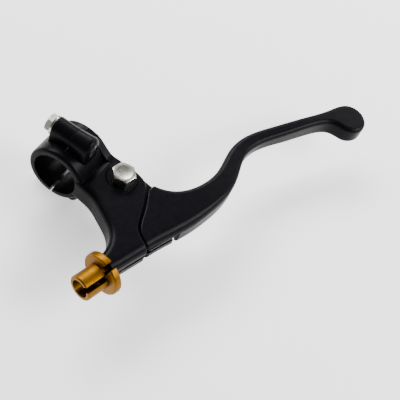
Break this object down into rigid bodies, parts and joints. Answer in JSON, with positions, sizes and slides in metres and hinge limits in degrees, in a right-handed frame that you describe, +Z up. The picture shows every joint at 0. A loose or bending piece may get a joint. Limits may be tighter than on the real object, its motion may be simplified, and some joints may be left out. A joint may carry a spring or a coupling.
{
  "type": "clutch lever assembly",
  "caption": "Left-hand clutch lever: split clamp perch, short dog-leg lever with a round flat ball end on a hex pivot bolt, and a slotted threaded cable adjuster with lock wheel.",
  "frame": {"origin": "centre of the handlebar clamp bore", "axes": "+X outboard along the handlebar towards the lever tip, +Y back towards the rider, +Z up along the lever pivot"},
  "size_m": [0.1781, 0.1172, 0.0444],
  "materials": {
    "black_aluminium": "satin black coated",
    "gold_aluminium": "gold anodised",
    "zinc_steel": "zinc plated",
    "bronze": "machined",
    "nylon": "matte"
  },
  "bodies": {
    "perch": {"perch_body": "black_aluminium", "clamp_cap": "black_aluminium", "clamp_bolts": "zinc_steel", "clamp_washers": "zinc_steel", "pivot_bolt": "zinc_steel", "pivot_washer": "zinc_steel", "pivot_nut": "zinc_steel", "nut_lock_ring": "nylon"},
    "lever": {"lever": "black_aluminium", "lever_bushing": "bronze"},
    "adjuster": {"adjuster_barrel": "gold_aluminium"},
    "lock_wheel": {"adjuster_lock_wheel": "gold_aluminium"}
  },
  "joints": [
    {"name": "lever_pivot", "type": "hinge", "parent": "perch", "child": "lever", "pos_m": [0.0044, -0.0254, 0], "axis": [0, 0, 1], "range_deg": [0, 25]},
    {"name": "adjuster_turn", "type": "hinge", "parent": "perch", "child": "adjuster", "pos_m": [-0.02915, -0.04733, 0], "axis": [0.965, -0.2622, 0], "continuous": true},
    {"name": "lock_wheel_turn", "type": "hinge", "parent": "perch", "child": "lock_wheel", "pos_m": [-0.02915, -0.04733, 0], "axis": [0.965, -0.2622, 0], "continuous": true}
  ]
}
